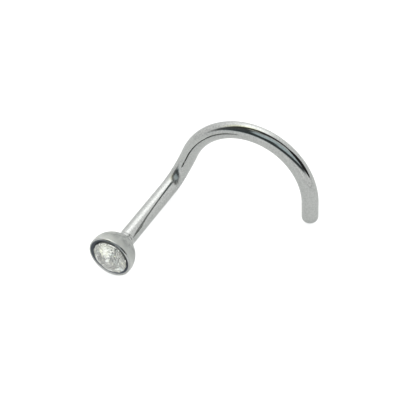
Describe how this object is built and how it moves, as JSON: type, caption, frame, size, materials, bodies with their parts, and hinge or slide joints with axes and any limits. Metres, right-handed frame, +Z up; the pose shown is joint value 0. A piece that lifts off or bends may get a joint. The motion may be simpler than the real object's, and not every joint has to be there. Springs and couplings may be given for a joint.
{
  "type": "nose stud",
  "caption": "Bent-wire nose stud with a round faceted stone in a ball-shaped setting, a straight post and a wide curled hook.",
  "frame": {"origin": "on the surface that the stud lies on, under the middle of its bounding box", "axes": "+Z up; +X from the stone's head towards the hook, along the post as seen from above; the hook curls towards -Y"},
  "size_m": [0.0098, 0.0102, 0.0053],
  "materials": {
    "polished_steel": "mirror-polished stainless steel with fine handling marks",
    "clear_crystal": "clear faceted crystal"
  },
  "bodies": {
    "root": {"wire_and_setting": "polished_steel", "stone": "clear_crystal"}
  },
  "joints": []
}
